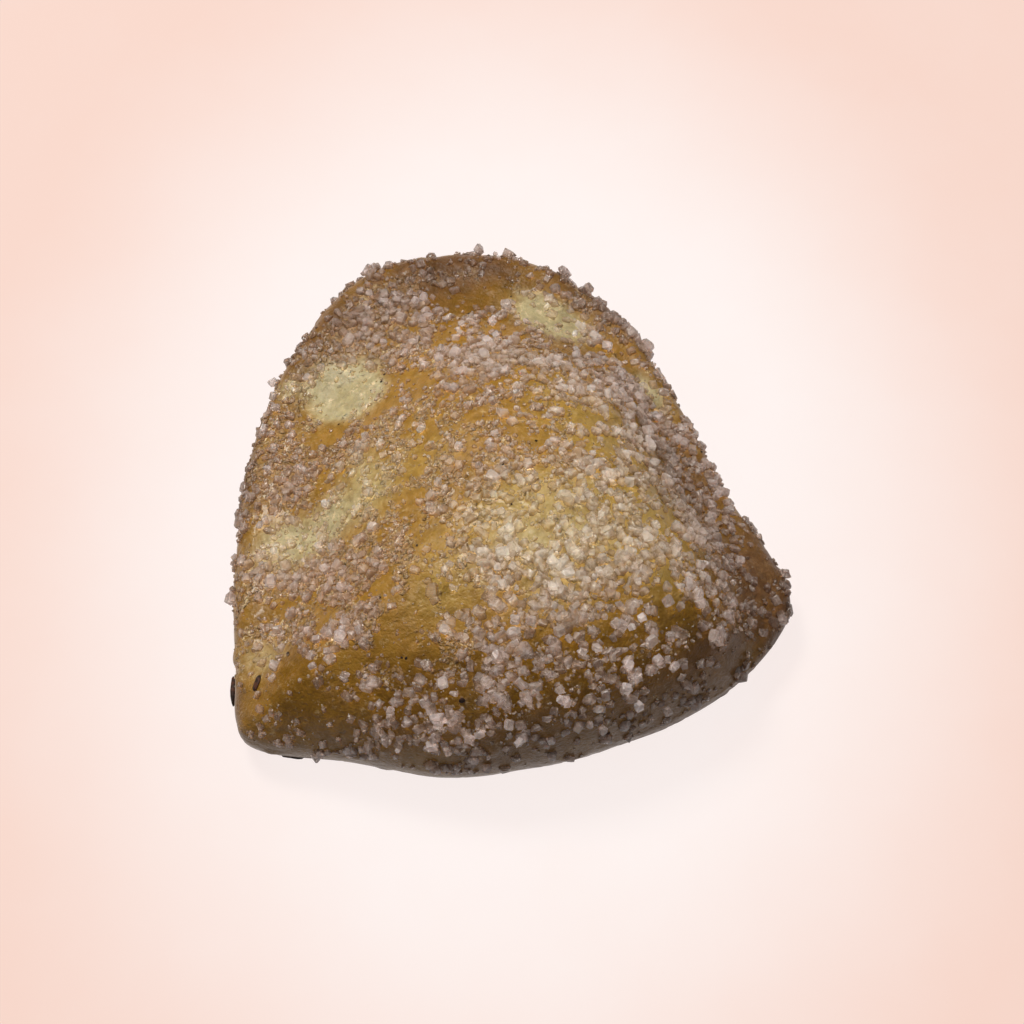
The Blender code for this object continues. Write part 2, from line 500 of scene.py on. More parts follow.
@dataclass(frozen=True)
class CrustFinish:
    """Egg-washed baked dough: amber glaze, brown bake that is also painted shade, pale marks that are
    also painted light on the belly, a bare fold and painted glints.
    """

    honey: Colour = (0.315, 0.165, 0.022, 1.0)
    amber: Colour = (0.205, 0.097, 0.005, 1.0)
    orange: Colour = (0.400, 0.205, 0.055, 1.0)
    yolk: Colour = (0.405, 0.265, 0.060, 1.0)
    # browner bake, also used as painted shade at the rims
    brown: Colour = (0.125, 0.055, 0.020, 1.0)
    cream: Colour = (0.455, 0.388, 0.215, 1.0)
    bare: Colour = (0.160, 0.092, 0.050, 1.0)
    scorch: Colour = (0.050, 0.022, 0.009, 1.0)
    # colour of the painted glints
    glint: Colour = (0.860, 0.690, 0.430, 1.0)
    syrup: Colour = (0.380, 0.225, 0.095, 1.0)
    pink_melt: Colour = (0.420, 0.265, 0.155, 1.0)
    grey_melt: Colour = (0.440, 0.335, 0.210, 1.0)
    pale_melt: Colour = (0.560, 0.500, 0.345, 1.0)
    painted_shade_on_melt: Colour = (0.55, 0.46, 0.40, 1.0)
    mottle_dark: Colour = (0.80, 0.79, 0.77, 1.0)
    mottle_light: Colour = (1.12, 1.12, 1.1, 1.0)
    broad_step: float = 0.006  # metres, as are the other steps
    fine_step: float = 0.0014
    grit_step: float = 0.00045
    scorch_step: float = 0.0034
    wrinkle_step: float = 0.0021
    warp_step: float = 0.0008
    wide_cell: float = 0.0011
    small_cell: float = 0.00055

    def build(self) -> bpy.types.Material:
        """Makes the material.

        Returns:
            The crust's finish, which reads the zones of the piece it is on.
        """
        g = Graph("baked_crust")
        place = g.place()
        pale, yellow, brown = g.zone(Zone.PALE), g.zone(Zone.YELLOW), g.zone(Zone.BROWN_AND_SHADE)
        deep, bare, crusted = g.zone(Zone.DEEP), g.zone(Zone.BARE), g.zone(Zone.CRUSTED)
        broad = g.noise(place, self.broad_step, 4.0, 0.6)
        fine = g.noise(place, self.fine_step, 4.0, 0.65)
        grit = g.noise(place, self.grit_step, 2.0, 0.6)
        warp = g.warped(place, self.warp_step, self.warp_step)
        wide, wide_random = g.cells(warp, self.wide_cell)
        small, small_random = g.cells(warp, self.small_cell)

        glaze = (deep + (broad - 0.5) * 1.1 + (fine - 0.5) * 0.4).eased(0.1, 0.85)
        colour = g.mix(glaze, self.honey, self.amber)
        warm = (broad * 0.6 + fine * 0.6).eased(0.50, 0.85)
        colour = g.mix(warm * 0.40 * (1 - deep), colour, self.orange)
        thin = (yellow * 1.2 + (broad - 0.5) * 0.6 + (fine - 0.5) * 0.4).eased(0.1, 0.9)
        colour = g.mix(thin * 0.9, colour, self.yolk)
        # Browner bake, and painted shade: the rims and the right flank darker where less light falls.
        browned_and_shaded = (brown * 1.2 + (fine - 0.5) * 0.6 + (broad - 0.5) * 0.5).eased(0.1, 0.95)
        colour = g.mix(browned_and_shaded * 0.92, colour, self.brown)
        light = (pale * 1.25 + (fine - 0.5) * 0.50 + (broad - 0.5) * 0.5).eased(0.05, 0.95)
        colour = g.mix(light * 0.93, colour, self.cream)
        missed = (bare * 1.2 + (fine - 0.5) * 0.55 + (broad - 0.5) * 0.4).eased(0.2, 0.85)
        colour = g.mix(missed * 0.9, colour, self.bare)
        scorched = g.noise(place, self.scorch_step, 5.0, 0.7).eased(0.48, 0.66)
        colour = g.mix(scorched * (missed * 0.6 + browned_and_shaded * 0.25 + 0.12), colour, self.scorch)

        stuck = (crusted * 1.15 + (fine - 0.5) * 0.5) * (1 - missed) * (1 - light * 0.8)
        wide_crystal = (stuck * 1.1 - wide_random).eased(-0.05, 0.15) * wide.eased(0.66, 0.36)
        small_crystal = (stuck * 1.2 - small_random).eased(-0.05, 0.15) * small.eased(0.66, 0.34)
        crystal = (wide_crystal + small_crystal * 0.8).clamped()
        melt = g.mix((wide_random * 3 + small_random * 0.7) * 0.3, self.pink_melt, self.grey_melt)
        # Painted shade between the crystals: the melted sugar darker where the crust is browner.
        melt = g.mix(brown * 0.8, melt, self.painted_shade_on_melt, "MULTIPLY")
        melt = g.mix(light, melt, self.pale_melt)
        syrup = (crusted * 0.85 + (fine - 0.5) * 1.0 + (broad - 0.5) * 0.8).clamped()
        colour = g.mix(syrup * 0.55 * (1 - missed), colour, g.mix(light, self.syrup, self.pale_melt))
        colour = g.mix(crystal * 0.50, colour, melt)
        thread = 1 - abs(g.noise(warp, self.warp_step, 2.0, 0.5) - 0.5) * 2
        sparse = g.noise(place, 0.0017, 3.0, 0.7).eased(0.54, 0.64)
        # Painted glints: thin bright golden threads put into the glaze's colour.
        glints = thread.eased(0.84, 0.95) * sparse * (stuck * 1.5 + light * 0.5 + 0.15).clamped()
        colour = g.mix(glints * 0.85 * (1 - browned_and_shaded * 0.7), colour, self.glint)
        mottle = g.mix(fine.eased(0.3, 0.7), self.mottle_dark, self.mottle_light)
        colour = g.mix(1.0, colour, mottle, "MULTIPLY")

        dull = (light * 0.5 + missed * 0.6 + browned_and_shaded * 0.25).clamped()
        wrinkles = 1 - abs(g.noise(place, self.wrinkle_step, 3.0, 0.6, 0.8) * 2 - 1)
        relief = g.bump(wrinkles, 0.00024, 0.5)
        relief = g.bump(fine, 0.00030, 0.7, relief)
        relief = g.bump(thread.eased(0.55, 0.95), 0.00007, 0.7, relief)
        relief = g.bump((1 - wide) * wide_crystal, 0.00045, 0.9, relief)
        relief = g.bump((1 - small) * small_crystal, 0.00022, 0.9, relief)
        relief = g.bump(grit, 0.00008, 0.8, relief)
        return g.finish({
            "Base Color": colour,
            "Roughness": 0.32 + dull * 0.3 + (grit - 0.5) * 0.2,
            "Coat Weight": (0.16 - dull * 0.3).clamped(),
            "Coat Roughness": 0.08,
            "Coat IOR": 1.45,
            "Specular IOR Level": 0.20,
            "Subsurface Weight": 0.12,
            "Subsurface Radius": (0.0016, 0.0008, 0.0003),
            "Subsurface Scale": 1.0,
            "Normal": relief,
        })


@dataclass(frozen=True)
class SugarFinish:
    """Translucent crystals, clearer or milkier one by one, with glaze soaked in from below, painted
    shade at their feet and over browner crust, and a painted highlight on their tops.
    """

    name: str = "sugar_crystal"
    clear: Colour = (0.60, 0.475, 0.40, 1.0)
    milky: Colour = (1.0, 0.92, 0.93, 1.0)
    soaked: Colour = (0.62, 0.45, 0.31, 1.0)
    yolky: Colour = (0.86, 0.76, 0.54, 1.0)
    roughness: float = 0.06
    transmission: float = 0.72
    over_yellow: Colour = (1.04, 1.07, 0.94, 1.0)
    painted_shade_over_brown: Colour = (0.46, 0.38, 0.32, 1.0)
    painted_foot_shade: Colour = (0.47, 0.38, 0.29, 1.0)
    cloud_step: float = 0.0007  # metres
    vein_step: float = 0.0003  # metres

    def build(self) -> bpy.types.Material:
        """Makes the material.

        Returns:
            The crystals' finish.
        """
        g = Graph(self.name)
        place = g.place()
        tint, soak, foot = g.zone(Zone.TINT), g.zone(Zone.SOAK), g.zone(Zone.SHADED_FOOT)
        yellow, brown = g.zone(Zone.YELLOW), g.zone(Zone.BROWN_AND_SHADE)
        cloud = g.noise(place, self.cloud_step, 3.0, 0.7)
        vein = g.noise(place, self.vein_step, 2.0, 0.6)
        # Painted highlight: the top of each crystal lighter.
        painted_top_light = (1 - foot).eased(0.7, 1.0) * 0.50
        milk = (tint.eased(0.3, 1.0) + painted_top_light + (cloud - 0.5) * 1.0 + (vein - 0.5) * 1.4).clamped()
        colour = g.mix(milk, self.clear, self.milky)
        drunk = g.mix(yellow, self.soaked, self.yolky)
        colour = g.mix((soak + (cloud - 0.5) * 0.4).clamped(), colour, drunk)
        colour = g.mix(yellow * 0.85, colour, self.over_yellow, "MULTIPLY")
        # Painted shade: crystals over the browner rims and the right flank darker, where less light
        # falls.
        colour = g.mix(brown, colour, self.painted_shade_over_brown, "MULTIPLY")
        # Painted shade at each crystal's foot.
        colour = g.mix(foot, colour, self.painted_foot_shade, "MULTIPLY")
        return g.finish({
            "Base Color": colour,
            "Roughness": self.roughness + vein * 0.16,
            "IOR": 1.5,
            "Transmission Weight": self.transmission,
            "Subsurface Weight": 0.7,
            "Subsurface Radius": (0.0012, 0.0010, 0.0009),
            "Subsurface Scale": 1.0,
            "Normal": g.bump(vein, 0.00013, 0.9, g.bump(cloud, 0.00020, 0.9)),
        })


@dataclass(frozen=True)
class CharFinish:
    """Burnt crumbs and syrup: nearly black, blistered, with a dull shine."""

    dark: Colour = (0.016, 0.007, 0.004, 1.0)
    warm: Colour = (0.085, 0.028, 0.012, 1.0)

    def build(self) -> bpy.types.Material:
        """Makes the material.

        Returns:
            The finish of flecks and burnt slivers.
        """
        g = Graph("burnt_crumbs")
        place = g.place()
        patch = g.noise(place, 0.0009, 3.0, 0.6)
        return g.finish({
            "Base Color": g.mix(patch.eased(0.45, 0.7), self.dark, self.warm),
            "Roughness": 0.40 + patch * 0.3,
            "Specular IOR Level": 0.22,
            "Normal": g.bump(g.noise(place, 0.0004, 3.0, 0.6), 0.00012, 0.8),
        })


@dataclass(frozen=True)
class GlowingSheetFinish:
    """A pale, slightly mottled pinkish sheet under the pastry that glows: painted light, brightest
    under the pastry and dimmer and pinker towards its edges, which also fills in the pastry's shadow.
    """

    sheet: Colour = (0.085, 0.080, 0.076, 1.0)
    sheet_cloud: Colour = (0.095, 0.090, 0.086, 1.0)
    # the painted glow under the pastry and towards the sheet's edges
    near: Colour = (0.905, 0.822, 0.800, 1.0)
    far: Colour = (0.840, 0.600, 0.520, 1.0)

    def build(self) -> bpy.types.Material:
        """Makes the material.

        Returns:
            The stage's finish.
        """
        g = Graph("glowing_pale_sheet")
        place = g.place()
        oval = g.node("ShaderNodeVectorMath", {"operation": "MULTIPLY"},
                      {0: place, 1: (1.25, 0.90, 1.0)})
        away = g.node("ShaderNodeVectorMath", {"operation": "LENGTH"}, {0: oval.outputs["Vector"]})
        # Painted light: the glow fades from near under the pastry to far at the edges.
        edge = Value(g, away.outputs["Value"]).eased(0.045, 0.118)
        cloud = g.noise(place, 0.03, 4.0, 0.6)
        return g.finish({
            "Base Color": g.mix(cloud, self.sheet, self.sheet_cloud),
            "Roughness": 0.9,
            "Specular IOR Level": 0.1,
            "Emission Color": g.mix((edge + (cloud - 0.5) * 0.3).clamped(), self.near, self.far),
            "Emission Strength": 1.0,
        })


# ---------------------------------------------------------------------------------------------
# The dough's form


@dataclass(frozen=True)
class FingerMark:
    """A press in the lip: where along the outline, how far in, how wide and how deep."""

    share: float
    inset: float
    radius: float
    depth: float


@dataclass(frozen=True)
class Surface:
    """A grid of places on the dough, rows from the apex down and in under the base."""

    points: Array
    normals: Array
    share: Array  # along the outline, by column
    tops: int  # rows from the apex to the waist

    @property
    def centred_cells(self) -> Array:
        """The middle of each cell of the grid."""
        p = self.points
        q = np.roll(p, -1, axis=1)
        return (p[:-1] + p[1:] + q[:-1] + q[1:]) / 4


@dataclass
class Dough:
    """The dough's form: a thick round fold in front and a pressed lip round the rest."""

    height: float = 29.0
    apex: tuple[float, float] = (7.0, -12.0)
    outline: tuple[tuple[float, float], ...] = (
        (-37.4, -36.2), (-24.1, -38.4), (-9.5, -41.1), (4.0, -39.7), (18.0, -35.6),
        (30.8, -28.9), (39.1, -20.2), (42.2, -13.0), (39.0, -4.2), (32.7, 6.4),
        (26.8, 20.6), (18.0, 36.0), (5.9, 46.3), (-8.0, 49.0), (-22.8, 45.3),
        (-33.2, 32.0), (-40.2, 13.0), (-41.8, -8.0), (-41.0, -23.0), (-40.5, -32.4))
    # Share of the outline: lip width, lip height, edge radius, waist height, undercut.
    sections: dict[float, tuple[float, ...]] = field(default_factory=lambda: {
        0.00: (3.0, 10.0, 4.6, 5.4, 3.4),
        0.05: (0.0, 9.5, 4.6, 6.4, 4.2),
        0.18: (0.0, 9.5, 4.6, 7.0, 5.0),
        0.26: (0.5, 9.2, 4.6, 6.4, 4.6),
        0.33: (7.0, 9.0, 4.4, 5.2, 3.2),
        0.42: (7.5, 9.0, 4.2, 4.8, 2.8),
        0.60: (9.5, 9.0, 4.2, 4.8, 2.8),
        0.76: (11.5, 9.5, 3.8, 5.0, 2.8),
        0.90: (9.0, 10.0, 3.6, 5.0, 3.0)})
    belly_roundness: float = 2.1
    belly_powers: tuple[float, float] = (0.5, 1.25)
    fold_faces: float = 283.0
    marks: tuple[FingerMark, ...] = (
        FingerMark(0.463, 4.5, 4.6, 1.1), FingerMark(0.558, 6.5, 5.2, 1.5),
        FingerMark(0.640, 6.0, 4.8, 0.7), FingerMark(0.764, 10.5, 5.4, 1.6),
        FingerMark(0.874, 10.5, 5.6, 1.4), FingerMark(0.949, 6.0, 5.0, 1.2))
    lumps: tuple[tuple[float, float, float, float], ...] = (
        (16.0, -3.0, 9.0, 0.8), (-6.0, 7.0, 11.0, 1.0), (-15.0, -17.0, 10.0, 0.9),
        (1.0, 24.0, 9.0, 0.8), (-13.0, 22.0, 7.0, -0.7), (1.0, -2.0, 6.0, -0.6),
        (24.0, -19.0, 8.0, 0.6))
    seam_span: tuple[float, float] = (0.36, 0.95)
    seam_height: float = 4.2
    seam_depth: float = 0.8
    seam_half_width: float = 0.7
    around: int = 560
    lip_rows: int = 24
    belly_rows: int = 86
    wall_rows: int = 22
    base_rows: int = 8

    def edge(self) -> Array:
        """Places evenly spaced by length on the closed Catmull-Rom curve through the outline.

        Returns:
            One place for each column.
        """
        knots = np.array(self.outline)
        fine = np.linspace(0, len(knots), 60 * len(knots), endpoint=False)
        first = fine.astype(int)
        t = (fine - first)[:, None]
        a, b, c, d = (knots[(first + k) % len(knots)] for k in (-1, 0, 1, 2))
        curve = b + 0.5 * t * (c - a + t * (2 * a - 5 * b + 4 * c - d
                                            + t * (3 * b - a - 3 * c + d)))
        loop = np.vstack([curve, curve[:1]])
        along = np.concatenate([[0.0], np.cumsum(np.linalg.norm(np.diff(loop, axis=0), axis=1))])
        wanted = np.arange(self.around) / self.around * along[-1]
        return np.stack([np.interp(wanted, along, loop[:, k]) for k in (0, 1)], axis=-1)

    def round_copy(self, edge: Array) -> Array:
        """The ellipse nearest to the outline: its mean and its first harmonic."""
        turn = 2 * np.pi * np.arange(self.around)[:, None] / self.around
        across = 2 * (edge * np.cos(turn)).mean(axis=0)
        along = 2 * (edge * np.sin(turn)).mean(axis=0)
        return edge.mean(axis=0) + np.cos(turn) * across + np.sin(turn) * along

    def section_values(self) -> Array:
        """The section values of every column, eased between the stated shares."""
        share = np.arange(self.around) / self.around
        keys = np.array(sorted(self.sections))
        values = np.array([self.sections[key] for key in keys])
        k = np.searchsorted(keys, share, side="right") - 1
        after = (k + 1) % len(keys)
        gap = (keys[after] - keys[k]) % 1.0
        ease = smooth_step(0.0, 1.0, (share - keys[k]) / gap)[:, None]
        return (values[k] * (1 - ease) + values[after] * ease).T

    def upper_rows(self, reach: Array, facing: Array, section: Array) -> tuple[Array, Array]:
        """Rows from the waist up and in to the apex.

        A quarter ellipse goes over the lip's edge. Inside the lip the belly rises as
        (1 - r^roundness)^power, r being the share of the spoke inside the lip, rounded over
        where it meets the lip. The power is low at the fold and high away from it.

        Args:
            reach: Each spoke's length.
            facing: Each spoke's direction in radians.
            section: The section values by column.

        Returns:
            The share of the spoke and the height of each row.
        """
        lip_width, lip_height, radius, waist, _ = section
        turn = np.linspace(0, np.pi / 2, self.lip_rows + 1)[:, None]
        across = np.linspace(0, 1, self.belly_rows + 1)[1:, None] ** 1.15
        inset = np.vstack([radius * (1 - np.cos(turn)), radius + (reach - radius) * across])
        share = np.maximum(1 - inset / reach, 0.0)
        full, hollow = self.belly_powers
        power = (full + hollow) / 2 - (hollow - full) / 2 * np.cos(
            facing - math.radians(self.fold_faces))
        fillet = np.maximum(0.6 * lip_width / (reach - lip_width), 1e-6)
        inside = share / (1 - lip_width / reach)
        near = np.maximum(fillet - np.abs(inside - 1), 0.0)
        inside = np.minimum(inside, 1.0) - near**2 / (4 * fillet)
        belly = (1 - inside**self.belly_roundness) ** power
        edge = np.vstack([np.sin(turn), np.ones_like(across)])
        return share, waist + (lip_height - waist) * edge + (self.height - lip_height) * belly

    def lower_rows(self, reach: Array, section: Array) -> tuple[Array, Array]:
        """Rows down the lower wall, a quarter ellipse, and in over the flat base.

        Args:
            reach: Each spoke's length.
            section: The section values by column.

        Returns:
            The share of the spoke and the height of each row.
        """
        waist, undercut = section[3], section[4]
        drop = np.linspace(0, np.pi / 2, self.wall_rows + 1)[1:, None]
        inward = np.linspace(0, 1, self.base_rows + 1)[1:, None]
        inset = np.vstack([undercut * (1 - np.cos(drop)), undercut + (reach - undercut) * inward])
        height = np.vstack([waist * (1 - np.sin(drop)), 0 * inward * reach])
        return 1 - inset / reach, height

    def surface(self) -> Surface:
        """Works the whole form out.

        Returns:
            The grid, before the fine relief of the crust.
        """
        edge, centre = self.edge(), np.array(self.apex)
        reach = np.linalg.norm(edge - centre, axis=1)
        facing = np.arctan2(*(edge - centre).T[::-1])
        section = self.section_values()
        top_share, top_height = self.upper_rows(reach, facing, section)
        low_share, low_height = self.lower_rows(reach, section)
        share = np.vstack([top_share[::-1], low_share])[..., None]
        keep = smooth_step(0.0, 1.0, share)
        spoke = (self.round_copy(edge) - centre) * (1 - keep) + (edge - centre) * keep
        plan = centre + spoke * share
        height = np.vstack([top_height[::-1], low_height])
        tops = len(top_height)

        relief = np.zeros((tops, self.around))
        for x, y, radius, rise in self.lumps:
            relief += rise * self.hill(plan[:tops], x, y, radius)
        for mark in self.marks:
            x, y = self.mark_spot(edge, mark)
            relief -= mark.depth * self.hill(plan[:tops], x, y, mark.radius)
        height[:tops] += relief * smooth_step(0.0, 3.0, height[:tops] - section[3])

        column = np.arange(self.around) / self.around
        start, end = self.seam_span
        shows = smooth_step(start, start + 0.04, column) * (1 - smooth_step(end - 0.04, end,
                                                                            column))
        outer = smooth_step(0.80, 0.90, share[..., 0])
        groove = shows * outer * np.exp(-((height - self.seam_height) / self.seam_half_width) ** 2)
        plan = plan - spoke * (self.seam_depth * groove / reach)[..., None]
        points = np.concatenate([plan, height[..., None]], axis=-1)
        return Surface(points, self.normals(points), column, tops)

    @staticmethod
    def hill(plan: Array, x: float, y: float, radius: float) -> Array:
        """A smooth hill of height 1: exp(-1.4 d^2 / radius^2), d being the distance in plan."""
        return np.exp(-1.4 * ((plan[..., 0] - x) ** 2 + (plan[..., 1] - y) ** 2) / radius**2)

    def mark_spot(self, edge: Array, mark: FingerMark) -> tuple[float, float]:
        """The middle of a finger mark, in from the outline towards the apex."""
        rim = edge[round(mark.share * self.around) % self.around]
        inward = (np.array(self.apex) - rim) / np.linalg.norm(np.array(self.apex) - rim)
        x, y = rim + inward * mark.inset
        return float(x), float(y)

    @staticmethod
    def normals(points: Array) -> Array:
        """Outward unit normals: the cross product of the steps down a column and along a row."""
        down = np.gradient(points, axis=0)
        along = np.roll(points, -1, axis=1) - np.roll(points, 1, axis=1)
        normal = np.cross(down, along)
        length = np.linalg.norm(normal, axis=-1, keepdims=True)
        normal = normal / np.maximum(length, 1e-9)
        normal[0] = (0.0, 0.0, 1.0)
        normal[-1] = (0.0, 0.0, -1.0)
        return normal


# ---------------------------------------------------------------------------------------------
# The crust


@dataclass
class Drift:
    """How the sugar has gathered: above 0 it lies in clumps, below 0 the glaze shows."""

    noise: LatticeNoise = field(default_factory=lambda: LatticeNoise(19))
    step: float = 2.6
    gaps: tuple[Blot, ...] = blots(
        (-8.0, 38.5, 5.5, 3.4, 0, 1.7), (-28.5, 36.5, 3.0, 2.0, 45, 1.5),
        (-9.0, 30.0, 2.2, 2.6, 0, 1.4), (-10.5, 26.5, 2.0, 1.6, 0, 1.4),
        (-28.8, 12.3, 3.2, 1.8, 10, 1.6), (-2.0, 38.0, 4.0, 2.0, 0, 1.0),
        (-18.8, 15.3, 2.8, 1.3, 20), (-14.5, 18.5, 1.6, 1.2), (-13.0, 4.5, 1.8, 5.0, -10),
        (-20.5, 1.5, 1.8, 3.2), (-15.0, -4.0, 2.0, 2.6), (-11.5, -13.5, 2.4, 3.0),
        (-37.6, -16.7, 2.6, 1.6, 0, 1.5), (-31.5, -30.0, 2.6, 3.2, 0, 1.5),
        (-14.0, -24.5, 4.0, 4.5, 0, 1.3), (-17.0, -29.2, 6.0, 1.6, 0, 1.2),
        (-25.5, -35.5, 5.0, 2.6, -5, 1.5), (-2.0, 43.0, 2.5, 1.5), (-1.5, 31.0, 2.2, 1.6),
        (16.0, 30.5, 2.6, 1.8, -35), (-1.5, 16.3, 2.0, 1.0), (0.5, 5.0, 3.0, 1.2),
        (11.5, 9.5, 1.6, 1.3), (15.0, 10.5, 1.2, 1.1), (12.0, 5.0, 1.8, 0.9),
        (22.0, 7.5, 1.7, 2.2, 25, 0.9), (22.0, -7.0, 2.0, 2.2, 0, 0.8),
        (22.5, -16.0, 1.8, 2.0, 0, 0.7), (23.0, -23.5, 1.8, 1.6, 0, 0.7),
        (32.5, -27.0, 4.0, 2.6, 40), (38.0, -11.0, 2.5, 5.0, 15, 0.9), (10.5, -37.6, 3.2, 1.2, 5),
        (25.0, -27.8, 2.5, 1.0, 25, 0.7), (2.0, -8.5, 3.0, 1.6))
    clumps: tuple[Blot, ...] = blots(
        (-24.0, 35.0, 5.0, 3.5, 40), (-17.0, 36.0, 4.0, 3.0), (-4.5, 33.4, 3.4, 1.8, 10),
        (-21.0, 31.5, 2.0, 1.5), (-16.0, 27.0, 3.0, 3.0), (-33.0, -12.0, 6.0, 2.2, 10),
        (-30.5, -22.5, 1.8, 1.6), (-24.5, -24.3, 2.2, 1.2), (-18.8, -37.4, 1.9, 1.2),
        (-10.2, -36.6, 3.2, 1.7, -10), (-34.0, -33.5, 1.8, 1.6), (-6.3, -40.5, 2.2, 1.6),
        (-0.5, -33.0, 3.0, 3.5), (-26.0, -14.0, 5.0, 2.5), (-36.8, -19.8, 1.9, 0.9),
        (-38.0, -10.2, 2.0, 1.0), (-34.5, 8.0, 4.0, 4.0), (-5.0, 22.0, 5.0, 4.0),
        (-20.0, -38.5, 1.2, 1.5), (-27.5, -37.6, 0.9, 0.9), (-23.8, -38.6, 1.6, 0.9))

    def at(self, points: Array) -> Array:
        """Reads the drift: layered noise plus the clumps minus the gaps."""
        drift = 1.1 * self.noise.layered(points, self.step, 3, 0.6)
        return drift + 0.8 * blots_at(self.clumps, points) - 0.6 * blots_at(self.gaps, points)


@dataclass
class Crust:
    """The baked skin over the dough, with its blisters, wrinkles and zones of colour."""

    dough: Dough = field(default_factory=Dough)
    finish: CrustFinish = field(default_factory=CrustFinish)
    pale_spots: tuple[Blot, ...] = blots(
        (-25.4, 20.3, 5.8, 5.5, 0, 1.10, 1.7), (-27.0, 24.5, 7.0, 4.5, 30, 0.30),
        (-35.0, 22.3, 2.2, 1.8, 0, 0.5), (-31.8, -5.8, 7.2, 4.6, 5, 0.80, 1.3),
        (-22.5, -1.5, 5.2, 6.2, 0, 0.50, 1.2), (-18.0, 6.0, 5.5, 6.0, 0, 0.15),
        (-37.0, -24.6, 4.2, 4.2, 0, 0.38, 1.5), (5.8, 34.3, 7.4, 3.8, -37, 0.95, 1.1),
        (9.5, 35.0, 4.6, 3.4, -30, 0.32), (22.3, 21.5, 4.6, 1.6, -52, 0.7),
        # The last blot, at (6.0, -14.0) on the top of the belly, is painted light where the most
        # light falls.
        (-11.1, 42.5, 3.5, 1.8, 0, 0.2), (6.0, -14.0, 13.0, 11.0, 20, 0.38))
    yellow_spots: tuple[Blot, ...] = blots(
        (2.0, -9.0, 7.0, 5.0, 0, 0.9), (9.0, -14.0, 15.0, 12.0, 20, 0.7),
        (21.0, -8.0, 7.0, 12.0, 10, 0.5), (-10.0, -20.0, 6.0, 9.0, 0, 0.4),
        (12.0, 8.0, 12.0, 8.0, -20, 0.5), (-21.5, 0.0, 4.5, 7.0, 20, 0.7),
        (-12.0, 4.0, 5.0, 8.0, 0, 0.45), (3.0, 21.0, 15.0, 7.0, -15, 0.3))
    # Browner bake at the rims, the top edge and the right tip, which also paints shade there.
    brown_and_shade_spots: tuple[Blot, ...] = blots(
        (39.5, -12.0, 7.0, 12.0, 10, 0.82), (31.0, -26.5, 12.0, 4.5, 38, 0.45),
        (24.0, 14.0, 6.0, 20.0, 28, 0.42), (27.0, -3.0, 7.0, 14.0, 20, 0.30),
        (12.0, -38.5, 16.0, 3.0, 12, 0.15), (-9.0, -39.5, 16.0, 3.0, 0, 0.12),
        (-31.0, -36.0, 11.0, 4.0, -5, 0.13), (-40.5, -30.0, 3.0, 7.0, 0, 0.4),
        (-40.5, 5.0, 3.0, 20.0, 0, 0.45), (-31.0, 34.0, 9.0, 4.5, 50, 0.42),
        (-10.0, 46.0, 14.0, 4.5, 0, 0.60), (14.0, 39.0, 11.0, 4.5, -48, 0.60),
        (-24.0, 33.0, 15.0, 8.0, 40, 0.30), (-8.0, 41.0, 14.0, 6.0, 0, 0.34),
        (-31.0, 10.0, 8.0, 8.0, 20, 0.22), (-2.0, 24.0, 14.0, 6.0, 0, 0.16),
        (17.0, -22.0, 12.0, 9.0, 20, 0.12), (-4.0, -32.0, 20.0, 7.0, 0, 0.22),
        (-22.0, -27.0, 14.0, 9.0, 0, 0.12))
    deep_spots: tuple[Blot, ...] = blots(
        (-22.0, -32.0, 16.0, 6.0, -4, 0.80), (2.0, -33.5, 16.0, 5.0, 0, 0.8),
        (-7.0, 37.5, 10.0, 6.0, 0, 1.0), (-7.0, 44.0, 14.0, 4.0, 0, 0.8),
        (24.0, 7.0, 8.0, 14.0, 25, 0.5), (-33.0, 24.0, 6.0, 12.0, -30, 0.55),
        (-37.0, -17.5, 4.0, 3.0, 0, 0.5), (-32.0, -29.0, 4.0, 5.0, 0, 0.5),
        (27.0, -17.0, 12.0, 10.0, 30, 0.8), (-24.0, 33.0, 14.0, 8.0, 40, 0.7),
        (10.0, -34.0, 22.0, 7.0, 15, 0.8), (8.0, 26.0, 12.0, 8.0, -30, 0.5))
    crusted_spots: tuple[Blot, ...] = blots(
        (-24.0, 30.0, 12.0, 9.0, 40, 1.1), (-31.0, 9.0, 11.0, 8.0, 30, 1.1),
        (-12.0, -2.0, 14.0, 16.0, 40, 0.9), (-28.0, -15.0, 15.0, 9.0, 0, 1.0),
        (10.0, -8.0, 20.0, 18.0, 0, 0.25), (2.0, 20.0, 15.0, 10.0, 0, 0.35),
        (-18.0, -27.0, 12.0, 6.0, 0, 0.5), (-9.0, 42.0, 14.0, 4.0, 0, 0.4),
        (15.0, 36.0, 11.0, 4.0, -48, 0.5), (24.0, 18.0, 4.0, 12.0, 25, 0.3))
    drift: Drift = field(default_factory=Drift)
    noise: LatticeNoise = field(default_factory=lambda: LatticeNoise(11))

    def surface(self) -> Surface:
        """The dough's surface with the crust's relief.

        Along each normal the skin moves by soft waves, by blisters where a noise passes a
        threshold, and by wrinkles where another noise crosses zero.

        Returns:
            The relieved grid.
        """
        flat = self.dough.surface()
        p = flat.points
        pale = blots_at(self.pale_spots, p)
        waves = 0.30 * self.noise.layered(p, 9.0, 2)
        blisters = 0.45 * smooth_step(0.28, 0.75, self.noise.layered(p + 31, 4.2, 2))
        crossing = np.abs(self.noise.layered(p + 57, 3.4, 3))
        wrinkles = -0.16 * smooth_step(0.16, 0.0, crossing) * (0.5 + np.clip(pale, 0, 1))
        amount = smooth_step(0.3, 3.0, p[..., 2])
        moved = p + flat.normals * ((waves + blisters + wrinkles) * amount)[..., None]
        moved[0], moved[-1] = moved[0].mean(axis=0), moved[-1].mean(axis=0)
        return Surface(moved, Dough.normals(moved), flat.share, flat.tops)

